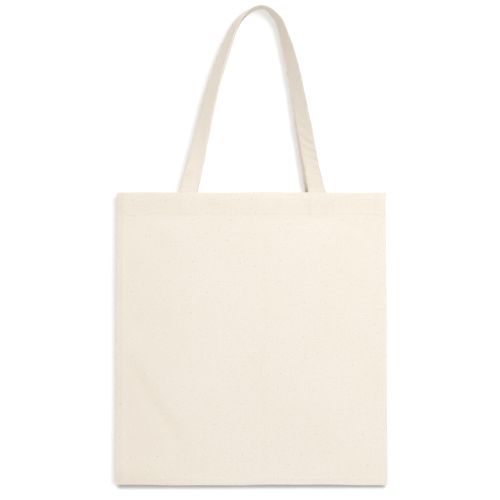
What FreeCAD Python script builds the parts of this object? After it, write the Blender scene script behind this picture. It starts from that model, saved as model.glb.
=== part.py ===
"""Cotton canvas tote bag, hanging by its two handles.

Millimetres, +Z up, +X to the wearer's right as the front is faced, front towards -Y.
The origin is the hang point: the underside of the handles, straight above the bag's middle.

Cloth layers are thin solids that nest without touching. Each panel bellies out from the
flat middle plane by the same rule, so a layer is that rule moved outwards by a fixed distance.
"""
import FreeCAD, Part
import math
import os

os.makedirs("parts", exist_ok=True)

# Cloth and thread
cloth = 0.6
thread = 0.4
layer_gap = 0.1
seam_slack = 0.15
thread_gap = 0.1

# Bag body
bag_width = 380.0
bag_height = 410.0
belly = 10.0
hem_depth = 32.0
hem_row_inset = 2.0
allowance_width = 8.0

# Handles
strap_width = 25.0
strap_thickness = 2.0
strap_row_inset = 2.0
left_spread = 88.0
front_right_spread = 92.0
back_right_spread = 88.0
handle_rise = 259.0
apex_shift = 13.0
leg_rise = 110.0
leg_inset = 25.0
left_crown_reach = 50.0
right_crown_reach = 43.0
handles_apart = 0.6
pivot_gap = 0.3
root_gap = 0.3
half_twist = 180.0
station_step = 20.0

# How far the hang point lies below the middle of the strap where the arch is highest
hang_point_drop = 5.0

# Worked out from the sizes above
half_width = bag_width / 2
mouth_z = hang_point_drop - handle_rise
base_z = mouth_z - bag_height
seam_gap = cloth + seam_slack
hem_row_z = mouth_z - hem_depth + hem_row_inset
hem_layer = -layer_gap - cloth
strap_layer = hem_layer - layer_gap - strap_thickness
row_offset = strap_width / 2 - strap_row_inset
overlock_width = 2 * thread
stitch_height = thread_gap + thread
seam_reach = thread + layer_gap + allowance_width + layer_gap + overlock_width + 3 * layer_gap

FRONT = -1
BACK = 1


def belly_at(x):
    """How far a panel's mouth edge bellies out at x."""
    return belly * (1 - (x / half_width) ** 2)


def sheet(side, x_range, z_range, offset, thickness):
    """A layer of cloth or a run of thread that follows a panel's belly.

    The belly is a parabola across the bag and a half parabola up it, so one Bezier face
    of three by three poles holds it exactly over any rectangle.
    """
    x_low, x_high = x_range
    z_low, z_high = z_range
    x_pairs = [(x_low, x_low), (x_low, x_high), (x_high, x_high)]
    z_pairs = [(z_low, z_low), (z_low, z_high), (z_high, z_high)]
    face = Part.BezierSurface()
    face.increase(2, 2)
    for i, (xa, xb) in enumerate(x_pairs):
        across = 1 - xa * xb / half_width**2
        for j, (za, zb) in enumerate(z_pairs):
            up_a = (za - base_z) / bag_height
            up_b = (zb - base_z) / bag_height
            out = seam_gap + offset + belly * across * (up_a + up_b - up_a * up_b)
            face.setPole(i + 1, j + 1, FreeCAD.Vector((xa + xb) / 2, side * out, (za + zb) / 2))
    return face.toShape().extrude(FreeCAD.Vector(0, side * thickness, 0))


def block(x_range, y_range, z_range):
    """A box between two corners."""
    size = [high - low for low, high in (x_range, y_range, z_range)]
    return Part.makeBox(*size, FreeCAD.Vector(x_range[0], y_range[0], z_range[0]))


def save(node, *solids):
    """Write a node's solids to its own STEP file."""
    shape = solids[0] if len(solids) == 1 else Part.makeCompound(list(solids))
    shape.exportStep(f"parts/{node}.step")


def centred(middle, width):
    """The range of that width about a middle."""
    return middle - width / 2, middle + width / 2


# Panels, hems and the threads that hold them


def make_panel(side, name):
    """The outer cloth, and the hem's layer turned in behind its top edge."""
    save(f"{name}_panel", sheet(side, (-half_width, half_width), (base_z, mouth_z), 0, cloth))
    hem_end = half_width - seam_reach
    hem_range = (mouth_z - hem_depth, mouth_z)
    save(f"{name}_hem", sheet(side, (-hem_end, hem_end), hem_range, hem_layer, cloth))


def make_hem_row(side, name, roots):
    """The row of stitches along the hem: one run outside, and inside it steps over the handles."""
    z_range = centred(hem_row_z, thread)
    end = half_width - seam_reach - layer_gap
    outside = cloth + thread_gap
    on_hem = hem_layer - stitch_height
    on_strap = strap_layer - stitch_height
    runs = [sheet(side, (-half_width + thread, half_width - thread), z_range, outside, thread)]
    start = -end
    for root in roots:
        strap_low, strap_high = centred(root, strap_width)
        runs.append(sheet(side, (start, strap_low - layer_gap), z_range, on_hem, thread))
        runs.append(sheet(side, (strap_low, strap_high), z_range, on_strap, thread))
        start = strap_high + layer_gap
    runs.append(sheet(side, (start, end), z_range, on_hem, thread))
    save(f"{name}_hem_stitching", *runs)


def make_strap_end(side, name, root):
    """A handle's end, laid flat on the hem inside the mouth, and the two rows that hold it."""
    strap_range = centred(root, strap_width)
    tail_range = (mouth_z - hem_depth, mouth_z)
    save(f"{name}_handle_end", sheet(side, strap_range, tail_range, strap_layer, strap_thickness))
    rows = []
    for offset in (cloth + thread_gap, strap_layer - stitch_height):
        for x in (root - row_offset, root + row_offset):
            z_range = (hem_row_z + thread, mouth_z - thread)
            rows.append(sheet(side, centred(x, thread), z_range, offset, thread))
    save(f"{name}_handle_tack_stitching", *rows)


# Seams: both panels' edges turned inside, the seam's thread and the overlock round the raw edge


def make_side_seam(side, name):
    """The left or right seam, from the bottom to the mouth; side is -1 or 1."""

    def across(start, width):
        return sorted((side * (half_width - start), side * (half_width - start - width)))

    allowance_start = thread + layer_gap
    overlock_start = allowance_start + allowance_width + layer_gap
    z_range = (base_z, mouth_z)
    save(f"{name}_seam_thread", block(across(0, thread), centred(0, thread), z_range))
    allowance = block(across(allowance_start, allowance_width), (-cloth, cloth), z_range)
    save(f"{name}_seam_allowance", allowance)
    overlock = block(across(overlock_start, overlock_width), (-cloth, cloth), z_range)
    save(f"{name}_overlock", overlock)


def make_bottom_seam():
    """The bottom seam, made the same way, between the side seams."""
    inner = half_width - seam_reach
    x_range = (-inner, inner)
    allowance_z = base_z + thread + layer_gap
    overlock_z = allowance_z + allowance_width + layer_gap
    save("bottom_seam_thread", block(x_range, centred(0, thread), (base_z, base_z + thread)))
    allowance = block(x_range, (-cloth, cloth), (allowance_z, allowance_z + allowance_width))
    save("bottom_seam_allowance", allowance)
    overlock = block(x_range, (-cloth, cloth), (overlock_z, overlock_z + overlock_width))
    save("bottom_overlock", overlock)


# Handles: each is a flat strap that stands up in an arch and turns half round on its way


def hinge_place(roots):
    """How far out from the middle plane a handle's hinge and the middle of its roots stand.

    The hinge lies half way between the strap's face as it stands inside the mouth and that face
    folded down outside. There its stitches pass the cloth's own, so both rows need their height.
    The cloth's edge curves, so its innermost and outermost places along both roots count.
    """
    edges = [abs(x) for root in roots for x in centred(root, strap_width)]
    innermost = seam_gap + hem_layer + belly_at(max(edges))
    outermost = seam_gap + cloth + belly_at(min(edges))
    standing_face = innermost - pivot_gap - stitch_height
    folded_face = outermost + pivot_gap + 2 * stitch_height
    return (standing_face + folded_face) / 2, standing_face - strap_thickness / 2


def arch_stations(left_root, right_root):
    """Points along the arch, evenly spaced, each with its direction and its share of the length."""
    start_z = mouth_z + root_gap
    apex_z = mouth_z + handle_rise
    left = Part.BezierCurve()
    left.setPoles([
        FreeCAD.Vector(left_root, 0, start_z),
        FreeCAD.Vector(left_root + leg_inset, 0, start_z + leg_rise),
        FreeCAD.Vector(apex_shift - left_crown_reach, 0, apex_z),
        FreeCAD.Vector(apex_shift, 0, apex_z),
    ])
    right = Part.BezierCurve()
    right.setPoles([
        FreeCAD.Vector(apex_shift, 0, apex_z),
        FreeCAD.Vector(apex_shift + right_crown_reach, 0, apex_z),
        FreeCAD.Vector(right_root - leg_inset, 0, start_z + leg_rise),
        FreeCAD.Vector(right_root, 0, start_z),
    ])
    edges = [left.toShape(), right.toShape()]
    total = sum(edge.Length for edge in edges)
    stations = []
    gone = 0.0
    for edge in edges:
        steps = math.ceil(edge.Length / station_step)
        first = 0 if not stations else 1
        for step in range(first, steps + 1):
            length = edge.Length * step / steps
            at = edge.getParameterByLength(length)
            stations.append((edge.valueAt(at), edge.tangentAt(at), (gone + length) / total))
        gone += edge.Length
    return stations


def strap_frames(side, roots):
    """At each station, the strap's middle, its directions across and through, and its share.

    Both roots are cut level, along the mouth's edge, though the legs lean.
    """
    _, root_y = hinge_place(roots)
    apex_y = (strap_width + handles_apart) / 2
    frames = []
    for point, along, share in arch_stations(*roots):
        turn = math.radians(half_twist * share)
        outward = FreeCAD.Vector(-along.z, 0, along.x)
        if share in (0, 1):
            outward = FreeCAD.Vector(1 / outward.x, 0, 0)
        depth = FreeCAD.Vector(0, side, 0)
        middle = point + depth * (root_y + (apex_y - root_y) * math.sin(turn))
        across = outward * math.cos(turn) - depth * math.sin(turn)
        through = outward * math.sin(turn) + depth * math.cos(turn)
        frames.append((middle, across, through, share))
    return frames


def rail(frames, across, through):
    """The smooth line that keeps that place in every frame, in pieces from station to station."""
    shares = [share for _, _, _, share in frames]
    points = [middle + a * across + t * through for middle, a, t, _ in frames]
    curve = Part.BSplineCurve()
    curve.interpolate(Points=points, Parameters=shares)
    pieces = []
    for low, high in zip(shares, shares[1:]):
        piece = curve.copy()
        piece.segment(low, high)
        pieces.append(piece.toShape())
    return pieces


def strip(frames, across_range, through_range):
    """A solid strip with a smooth rail along each corner and ruled faces from rail to rail."""
    corners = [(across_range[0], through_range[0]), (across_range[1], through_range[0])]
    corners += [(across_range[1], through_range[1]), (across_range[0], through_range[1])]
    rails = [rail(frames, across, through) for across, through in corners]
    faces = []
    for i in range(4):
        faces += [Part.makeRuledSurface(a, b, 1) for a, b in zip(rails[i - 1], rails[i])]
    for ring in ([r[0].firstVertex().Point for r in rails], [r[-1].lastVertex().Point for r in rails]):
        faces.append(Part.Face(Part.makePolygon(ring + ring[:1])))
    solid = Part.Solid(Part.Shell(faces))
    return solid if solid.Volume > 0 else solid.reversed()


def make_handle(side, name, roots):
    """The free part of a handle, and the rows of stitches along both its edges on both faces."""
    frames = strap_frames(side, roots)
    half = strap_thickness / 2
    save(f"{name}_handle", strip(frames, centred(0, strap_width), (-half, half)))
    rows = []
    for across in (-row_offset, row_offset):
        for low in (half + thread_gap, -half - stitch_height):
            rows.append(strip(frames, centred(across, thread), (low, low + thread)))
    save(f"{name}_handle_stitching", *rows)


for side, name, right_spread in ((FRONT, "front", front_right_spread), (BACK, "back", back_right_spread)):
    roots = (-left_spread, right_spread)
    make_panel(side, name)
    make_hem_row(side, name, roots)
    make_handle(side, name, roots)
    for root, end in zip(roots, ("left", "right")):
        make_strap_end(side, f"{name}_{end}", root)

make_side_seam(-1, "left")
make_side_seam(1, "right")
make_bottom_seam()
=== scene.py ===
import math
import random

import bpy
import numpy as np
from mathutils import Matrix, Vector


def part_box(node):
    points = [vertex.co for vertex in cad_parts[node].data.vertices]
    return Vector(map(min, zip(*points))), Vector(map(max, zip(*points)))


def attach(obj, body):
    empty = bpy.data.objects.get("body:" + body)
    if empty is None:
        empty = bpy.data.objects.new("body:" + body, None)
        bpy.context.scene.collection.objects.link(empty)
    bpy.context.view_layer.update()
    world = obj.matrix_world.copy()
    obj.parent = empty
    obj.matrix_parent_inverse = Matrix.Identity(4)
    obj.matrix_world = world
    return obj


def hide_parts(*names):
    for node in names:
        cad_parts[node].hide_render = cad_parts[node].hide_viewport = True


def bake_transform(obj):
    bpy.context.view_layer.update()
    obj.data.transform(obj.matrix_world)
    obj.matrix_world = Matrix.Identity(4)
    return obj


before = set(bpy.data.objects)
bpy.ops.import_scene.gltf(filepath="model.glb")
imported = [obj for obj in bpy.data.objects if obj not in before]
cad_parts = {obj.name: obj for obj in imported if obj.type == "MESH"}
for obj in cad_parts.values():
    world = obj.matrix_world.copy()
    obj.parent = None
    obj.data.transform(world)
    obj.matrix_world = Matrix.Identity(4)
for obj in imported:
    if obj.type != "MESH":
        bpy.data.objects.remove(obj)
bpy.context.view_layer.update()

bl_info = {
    "name": "Canvas tote bag",
    "version": (1, 0, 0),
    "blender": (4, 5, 0),
    "location": "3D View > Sidebar > Tote bag",
    "description": "Cuts, folds, sews and hangs a cotton canvas tote bag with two handles",
    "category": "Object",
}

# Everything is in metres, +Z up, front towards -Y, origin at the point the bag hangs from.
MM = 0.001
FRONT = -1
BACK = 1
SIDE_NAMES = {FRONT: "front", BACK: "back"}


# ---------------------------------------------------------------- what a user would change


def length(name, description, default, least=-10.0, precision=4):
    return bpy.props.FloatProperty(
        name=name, description=description, default=default, min=least, unit="LENGTH", precision=precision)


def power(name, description, default):
    return bpy.props.FloatProperty(name=name, description=description, default=default, min=0, unit="POWER")


def strength(name, description, default):
    return bpy.props.FloatProperty(name=name, description=description, default=default, min=0)


def colour(name, description, default):
    return bpy.props.FloatVectorProperty(
        name=name, description=description, default=default, subtype="COLOR", size=3, min=0, max=1)


class ToteBagSizes(bpy.types.PropertyGroup):
    """How the cloth is cut, folded and sewn."""

    cloth: length("Canvas thickness", "Thickness of one layer of canvas", 0.6 * MM, least=0.2 * MM, precision=5)
    layer_gap: length(
        "Layer gap", "Air between two layers that lie on each other", 0.1 * MM, least=0.02 * MM, precision=5)
    belly: length("Belly", "How far each panel stands out at the middle of the mouth", 10 * MM, least=0)
    hem_depth: length("Hem depth", "How deep the top edge is turned in", 32 * MM, least=10 * MM)
    hem_row_inset: length(
        "Hem row inset", "From the hem's lower edge up to its row of stitches", 1.2 * MM, least=1 * MM)
    hem_slant: length("Hem slant", "How much lower the hem's row lies at the right than at the left", 3 * MM)
    allowance: length("Seam allowance", "Width of the cloth turned inside at each seam", 8 * MM, least=3 * MM)
    strap_thickness: length("Handle thickness", "Thickness of the folded handle strap", 2 * MM, least=1 * MM)
    row_inset: length("Handle row inset", "From a handle's edge to its row of stitches", 2 * MM, least=1 * MM)
    handle_rise: length("Handle rise", "Height of a handle's middle line above the mouth", 259 * MM, least=50 * MM)
    crown_shift: length("Crown shift", "How far to the right of the middle the arch is highest", 13 * MM)
    left_reach: length("Left crown reach", "How widely the arch rounds over on its left", 50 * MM)
    right_reach: length("Right crown reach", "How widely the arch rounds over on its right", 43 * MM)
    leg_rise: length("Leg rise", "How far up a leg keeps its first direction", 110 * MM)
    leg_inset: length("Leg lean", "How far a leg leans in over its rise", 25 * MM)
    stitch_pitch: length("Stitch pitch", "From one stitch to the next", 3.2 * MM, least=1.5 * MM)
    stitch_width: length("Thread thickness", "Thickness of the sewing thread", 0.42 * MM, least=0.2 * MM)
    drape_limit: length("Drape limit", "The most that hanging may move the cloth in or out", 2.2 * MM, least=0)


class ToteBagFinish(bpy.types.PropertyGroup):
    """Colours of the cloth and thread."""

    canvas: colour("Canvas colour", "Undyed cotton of the two panels", (0.836, 0.799, 0.746))
    strap: colour("Handle colour", "Undyed cotton of the handles", (0.83, 0.785, 0.725))
    thread: colour("Thread colour", "Cotton thread of the sewn rows", (0.90, 0.86, 0.80))
    fleck: colour("Fleck colour", "Bits of seed husk left in the yarn", (0.36, 0.22, 0.10))
    yarn_pitch: length(
        "Yarn pitch", "From one yarn of the canvas to the next", 0.8 * MM, least=0.3 * MM, precision=5)


class ToteBagStage(bpy.types.PropertyGroup):
    """Camera, light and the surfaces behind and below the bag."""

    camera_distance: length(
        "Camera distance", "From the camera to the bag's middle plane", 2.9, least=0.5, precision=2)
    view_width: length("View width", "Width seen at the bag's middle plane", 0.701, least=0.1, precision=2)
    aim_x: length("Aim across", "How far right of the hang point the camera aims", -2.0 * MM)
    aim_z: length("Aim height", "How far above the hang point the camera aims", -334.6 * MM)
    floor_drop: length("Floor drop", "How far the floor lies below the bag", 0.30, least=0.02, precision=2)
    wall_gap: length("Wall distance", "How far behind the middle plane the wall stands", 0.031, least=0.03)
    sky: strength("Light all round", "Strength of the even, slightly warm light", 0.62)
    key: power("Key light", "Power of the large soft light at the upper right", 13.0)
    front: power("Front light", "Power of the light above the camera", 14.5)
    left: power("Left fill", "Power of the large soft light low on the left", 5.0)
    shadow_side: power(
        "Soft shadow", "Power of the light that falls only on the wall and draws the soft shadow at the left",
        1880.0)
    shadow_foot: power(
        "Foot shadow", "Power of the light that falls only on the wall and draws the shadow below the bag", 2800.0)
    card: length(
        "Shadow card", "Height of the card inside the bag's foot that casts the shadow below it", 16 * MM, least=0)
    wall_glow: strength("Wall glow", "Light of the wall itself, which keeps its shadows pale", 0.02)


# ---------------------------------------------------------------- measuring helpers


def smooth(low, high, x):
    """0 below low, 1 above high, and an even turn between them."""
    t = np.clip((np.asarray(x, float) - low) / (high - low), 0, 1)
    return t * t * (3 - 2 * t)


def bump(x, middle, width):
    """A soft bell of height 1 about a middle."""
    return np.exp(-(((np.asarray(x, float) - middle) / width) ** 2))


class Measures:
    """The bag's places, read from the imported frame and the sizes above."""

    def __init__(self):
        s = bpy.context.scene.tote_sizes
        self.s = s
        low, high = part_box("front_panel")
        self.half_width = high.x
        self.base_z, self.mouth_z = low.z, high.z
        self.height = high.z - low.z
        self.seam_gap = -low.y - s.belly - s.cloth
        self.roots, self.root_y, self.apex_y = {}, {}, {}
        for side, name in SIDE_NAMES.items():
            ends = [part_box(f"{name}_{end}_handle_end") for end in ("left", "right")]
            self.roots[side] = [(low.x + high.x) / 2 for low, high in ends]
            self.strap_width = ends[0][1].x - ends[0][0].x
            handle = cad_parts[f"{name}_handle"].data
            foot = [abs(v.co.y) for v in handle.vertices if v.co.z < self.mouth_z + 1 * MM]
            self.root_y[side] = (min(foot) + max(foot)) / 2
            low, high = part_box(f"{name}_handle")
            self.apex_y[side] = abs(low.y + high.y) / 2
        self.row_offset = self.strap_width / 2 - s.row_inset
        self.hem_layer = -s.layer_gap - s.cloth
        self.strap_layer = self.hem_layer - s.layer_gap - s.strap_thickness

    def hem_row_z(self, x):
        """Height of the hem's row of stitches, which slants a little."""
        s = self.s
        slant = s.hem_slant * np.asarray(x, float) / (2 * self.half_width)
        return self.mouth_z - s.hem_depth + s.hem_row_inset - slant


# How far hanging moved each panel: the grid's places across and up, and the moves there
HANG = {}


def hang_of(side, x, z):
    """How far hanging has moved the panel out at a place, from the simulated sheet."""
    field = HANG.get(side)
    if field is None:
        return np.zeros_like(x)
    xs, zs, out = field
    i = np.clip((x - xs[0]) / (xs[-1] - xs[0]) * (len(xs) - 1), 0, len(xs) - 1.001)
    j = np.clip((z - zs[0]) / (zs[-1] - zs[0]) * (len(zs) - 1), 0, len(zs) - 1.001)
    i0, j0 = i.astype(int), j.astype(int)
    a, b = i - i0, j - j0
    low = out[i0, j0] * (1 - a) + out[i0 + 1, j0] * a
    high = out[i0, j0 + 1] * (1 - a) + out[i0 + 1, j0 + 1] * a
    return low * (1 - b) + high * b


def crease(x, z, start, end, depth, width, bow=0):
    """A sunken line from start to end, in millimetres, with a low ridge on each side."""
    ax, az, bx, bz = (v * MM for v in (*start, *end))
    dx, dz = bx - ax, bz - az
    length = math.hypot(dx, dz)
    t = ((x - ax) * dx + (z - az) * dz) / length**2
    away = ((x - ax) * dz - (z - az) * dx) / length
    away = away - bow * MM * np.sin(math.pi * np.clip(t, 0, 1))
    ends = smooth(-0.15, 0.25, t) * (1 - smooth(0.7, 1.15, t))
    w = width * MM
    ridges = 0.55 * bump(away, 1.7 * w, w) + 0.3 * bump(away, -1.8 * w, w)
    return -depth * MM * ends * (bump(away, 0, w) - ridges)


# Each crease: start, end, depth, width, bow, all in millimetres from the hang point, and how much painted shade it gets
CREASES = {
    FRONT: [
        ((-173, -479), (-95, -602), 0.20, 9.0, 3, 0.27),
        ((-175, -480), (-92, -606), 0.0, 15, 3, 0.14),
        ((-160, -560), (-104, -632), 0.05, 6.0, 4, 0.0),
        ((-186, -505), (-146, -612), 0.0, 22, 0, 0.10),
        ((-180, -372), (-152, -452), 0.12, 13, 0, 0.12),
        ((-177, -286.5), (-162, -288.5), 0.45, 1.6, 0, 0.24),
        ((-176, -355), (-152, -353), 0.40, 1.7, 1, 0.22),
        ((-63, -257), (-58, -281), 0.45, 2.4, 0.5, 0.07),
        ((80.5, -266), (80.5, -292), 0.14, 1.7, 0, 0.50),
        ((112.5, -268), (113.5, -286), 0.25, 2.0, 0, 0.26),
        ((177, -255), (174, -284), 0.40, 4.5, 0, 0.20),
        ((170, -285), (188, -288), 0.30, 1.6, 0, 0.34),
        ((17, -300), (15, -645), 0.20, 4.0, 1.5, 0.05),
        ((-30, -446), (24, -522), 0.25, 5.0, 3, 0.06),
        ((120, -292), (170, -318), 0.25, 6.0, -4, 0.0),
        ((96, -560), (172, -640), 0.08, 7.0, -6, 0.0),
    ],
    BACK: [
        ((-178, -300), (-96, -420), 0.45, 6.0, 8, 0.12),
        ((60, -340), (66, -600), 0.25, 3.5, -2, 0.04),
        ((170, -470), (96, -590), 0.60, 5.0, -8, 0.15),
        ((-150, -560), (-60, -636), 0.40, 6.0, 6, 0.08),
        ((40, -262), (34, -281), 0.45, 3.0, 0, 0.07),
    ],
}


def shaded(m, side, x, z):
    """Painted shade: how much darker the cloth is painted along its creases, its left edge, its foot and its hem, and
    towards its lower left.
    """
    dark = 0.0 * x
    # painted shade along the middle of each crease
    for start, end, depth, width, bow, shade in CREASES[side]:
        if shade:
            dark += shade * np.maximum(0, -crease(x, z, start, end, 1, width, bow) / MM)
    low_corner = 1 - smooth(-150 * MM, -70 * MM, side * -x)
    from_left = m.half_width + side * -x
    from_foot = z - m.base_z
    # painted shade in a band along the left edge, darkest at the edge itself
    dark += 0.21 * (1 - smooth(6 * MM, 12 * MM, from_left)) + 0.22 * bump(from_left, 0, 1.7 * MM)
    # painted shade along the foot, deeper and wider towards the left corner
    dark += (0.12 + 0.26 * low_corner) * (1 - smooth(2 * MM, 8 * MM + 26 * MM * low_corner, from_foot))
    # painted shade over the band of the hem
    dark += 0.27 * bump(z, m.mouth_z - 19 * MM, 13 * MM)
    # broad painted shade that grows to the left and lower down
    down = np.clip((m.mouth_z - z) / m.height, 0, 1)
    dark += (0.08 + 0.12 * down) * smooth(60 * MM, 190 * MM, side * x) + 0.04 * down
    return np.clip(dark, 0, 1)


def belly_at(m, x, z):
    """How far the belly holds the panel off its seams: most at the middle of the mouth."""
    v = (z - m.base_z) / m.height
    return m.s.belly * (1 - np.clip((x / m.half_width) ** 2, 0, 1)) * v * (2 - v)


def smooth_face(m, x, z):
    return m.seam_gap + belly_at(m, x, z)


def relief(m, side, x, z):
    """How far the panel's cloth stands out from the smooth belly, in or out."""
    from_side, from_foot = m.half_width - np.abs(x), z - m.base_z
    inside = smooth(0, 14 * MM, from_side) * smooth(0, 12 * MM, from_foot)
    out = hang_of(side, x, z) * smooth(0, 110 * MM, from_side) * smooth(0, 170 * MM, from_foot)
    near_root = sum(bump(x, root, 22 * MM) for root in m.roots[side])
    out *= 1 - 0.75 * np.clip(near_root, 0, 1) * smooth(m.mouth_z - 60 * MM, m.mouth_z, z)
    # the hem's turned layer lifts the cloth in front of it, and its row of stitches pulls it in
    row = m.hem_row_z(x)
    ripple = 0.5 + 0.5 * np.sin(x / (11.3 * MM) + 1.7 * side) * np.sin(x / (4.1 * MM))
    out += 0.30 * MM * smooth(row - 4 * MM, row - 1 * MM, z) * inside
    right_end = 0.35 + 0.65 * smooth(135 * MM, 160 * MM, side * -x)
    out -= (0.10 + 0.22 * right_end) * MM * bump(z, row, 1.3 * MM) * inside
    beside_row = bump(z, row - 4.5 * MM, 2.6 * MM) + bump(z, row + 4.2 * MM, 2.4 * MM)
    out += (0.04 + 0.16 * ripple) * right_end * MM * beside_row * inside
    # the sewn ends of the handles show through the hem
    for root in m.roots[side]:
        raised = smooth(-1.5 * MM, 1 * MM, m.strap_width / 2 - np.abs(x - root))
        out += 0.35 * MM * raised * smooth(row - 3 * MM, row + 1 * MM, z) * inside
        for edge in (-1, 1):
            out -= 0.28 * MM * bump(x, root + edge * m.row_offset, 0.9 * MM) * smooth(row - 1 * MM, row + 1 * MM, z)
    # the turned-in seam allowances press a faint ridge along the sides and the bottom
    wander = 0.6 + 0.4 * np.sin(z / (23 * MM) + side)
    ridge = bump(from_side, m.s.allowance + 1 * MM, 1.6 * MM) * smooth(0, 10 * MM, from_foot)
    out += (0.34 - 0.18 * np.sign(side * -x)) * MM * wander * ridge
    wander = 0.6 + 0.4 * np.sin(x / (31 * MM) + 2 * side)
    out += 0.34 * MM * wander * bump(from_foot, m.s.allowance + 1 * MM, 1.6 * MM) * inside
    # pulled gathers run down from the hem and in from the side seams
    gathers = np.sin(x / (6.4 * MM) + 2.1 * np.sin(x / (27 * MM))) * bump(z, row - 9 * MM, 9 * MM) * (z < row)
    out += 0.07 * MM * gathers * inside
    seams = np.sin(z / (8.2 * MM) + 2.4 * np.sin(z / (41 * MM)) + side) * bump(from_side, 6 * MM, 8 * MM)
    out += 0.10 * MM * seams * smooth(0, 6 * MM, from_side)
    for start, end, depth, width, bow, _ in CREASES[side]:
        out += crease(x, z, start, end, depth, width, bow) * inside
    return np.maximum(out, -0.6 * belly_at(m, x, z))


def face_at(m, side, x, z):
    """How far the panel's inner face stands from the middle plane."""
    x, z = np.asarray(x, float), np.asarray(z, float)
    return smooth_face(m, x, z) + relief(m, side, x, z)


def settle(m, points):
    """The slight spread of the body towards its base and the wave of its top edge."""
    x, z = points[:, 0], points[:, 2]
    down = (m.mouth_z - z) / m.height
    sides = smooth(0.55, 1.0, np.abs(x) / m.half_width)
    spread = (-1.3 + 2.2 * down + 0.25 * np.sin(z / (37 * MM))) * MM
    points[:, 0] += np.sign(x) * spread * sides * smooth(-0.02, 0.0, down)
    top = smooth(m.mouth_z - 14 * MM, m.mouth_z, z)
    roots = smooth(24 * MM, 40 * MM, np.abs(np.abs(x) - 89 * MM))
    wave = 0.45 * np.sin(x / (31 * MM) + 0.6) + 0.2 * np.sin(x / (12.5 * MM))
    points[:, 2] += wave * MM * top * roots
    foot = 1 - smooth(m.base_z, m.base_z + 10 * MM, z)
    points[:, 2] += (0.5 * np.sin(x / (45 * MM)) + 0.2 * np.sin(x / (14 * MM))) * MM * foot
    return points


# ---------------------------------------------------------------- mesh helpers


def nothing_selected():
    if bpy.context.mode != "OBJECT":
        bpy.ops.object.mode_set(mode="OBJECT")
    bpy.ops.object.select_all(action="DESELECT")


def only(obj):
    nothing_selected()
    obj.select_set(True)
    bpy.context.view_layer.objects.active = obj


def flat_cloth(name, us, vs):
    """A flat piece of cloth with grid lines at us and vs, and those as its texture map."""
    nothing_selected()
    bpy.ops.mesh.primitive_grid_add(x_subdivisions=len(us) - 1, y_subdivisions=len(vs) - 1, size=2)
    obj = bpy.context.object
    obj.name = obj.data.name = name
    mesh = obj.data
    co = np.zeros(len(mesh.vertices) * 3)
    mesh.vertices.foreach_get("co", co)
    co = co.reshape(-1, 3)
    i = np.rint((co[:, 0] + 1) / 2 * (len(us) - 1)).astype(int)
    j = np.rint((co[:, 1] + 1) / 2 * (len(vs) - 1)).astype(int)
    if len(np.unique(i)) != len(us) or len(np.unique(j)) != len(vs):
        raise RuntimeError(f"{name}: the grid has {len(np.unique(i))} by {len(np.unique(j))} lines")
    u, v = np.asarray(us)[i], np.asarray(vs)[j]
    layer = mesh.uv_layers[0] if mesh.uv_layers else mesh.uv_layers.new()
    layer.name = "cloth"
    corner = np.zeros(len(mesh.loops), int)
    mesh.loops.foreach_get("vertex_index", corner)
    layer.data.foreach_set("uv", np.column_stack([u[corner], v[corner]]).ravel().astype(np.float32))
    return obj, u, v


def put(obj, points):
    obj.data.vertices.foreach_set("co", np.ascontiguousarray(points, float).ravel())
    obj.data.update()


def places(obj):
    co = np.zeros(len(obj.data.vertices) * 3)
    obj.data.vertices.foreach_get("co", co)
    return co.reshape(-1, 3)


def cut_away(obj, picked):
    """Deletes the faces all of whose corners are picked."""
    only(obj)
    bpy.context.tool_settings.mesh_select_mode = (False, False, True)
    mesh = obj.data
    mesh.vertices.foreach_set("select", np.zeros(len(mesh.vertices), bool))
    mesh.edges.foreach_set("select", np.zeros(len(mesh.edges), bool))
    for p in mesh.polygons:
        p.select = all(picked[k] for k in p.vertices)
    bpy.ops.object.mode_set(mode="EDIT")
    bpy.ops.mesh.delete(type="FACE")
    bpy.ops.object.mode_set(mode="OBJECT")


def in_edit_mode(obj, *steps):
    """Takes each step in edit mode, with the whole mesh selected at the start."""
    only(obj)
    bpy.ops.object.mode_set(mode="EDIT")
    bpy.ops.mesh.select_all(action="SELECT")
    for step in steps:
        step()
    bpy.ops.object.mode_set(mode="OBJECT")


def outward(obj):
    """Makes every face look out of a closed mesh."""
    in_edit_mode(obj, lambda: bpy.ops.mesh.normals_make_consistent(inside=False))


def close_ends(obj, *before):
    """Fills a tube's open ends, after those steps, and turns its faces outwards."""
    in_edit_mode(obj, *before,
                 lambda: bpy.ops.mesh.select_mode(type="VERT"),
                 lambda: bpy.ops.mesh.select_all(action="DESELECT"),
                 bpy.ops.mesh.select_non_manifold,
                 bpy.ops.mesh.edge_face_add)
    outward(obj)


def give_thickness(obj, thickness):
    """Gives a single layer its thickness, half to each side."""
    only(obj)
    wall = obj.modifiers.new("Thickness", "SOLIDIFY")
    wall.thickness = thickness
    wall.offset = 0
    wall.use_even_offset = False
    wall.use_rim = True
    bpy.ops.object.modifier_apply(modifier=wall.name)


def shade(obj, angle=None):
    only(obj)
    if angle is None:
        bpy.ops.object.shade_smooth()
    else:
        bpy.ops.object.shade_smooth_by_angle(angle=math.radians(angle))


def dress(obj, material):
    obj.data.materials.clear()
    obj.data.materials.append(material)


def paint(obj, name, values):
    """Stores a number at each vertex, for the materials."""
    layer = obj.data.attributes.get(name) or obj.data.attributes.new(name, "FLOAT", "POINT")
    layer.data.foreach_set("value", np.asarray(values, np.float32))


def lines(*parts):
    """Grid lines: each part is (from, to, largest step), and parts meet end to end."""
    found = [parts[0][0]]
    for low, high, step in parts:
        count = max(1, math.ceil(abs(high - low) / step - 1e-6))
        found += [low + (high - low) * (k + 1) / count for k in range(count)]
    return found


# ---------------------------------------------------------------- shader groups


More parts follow.
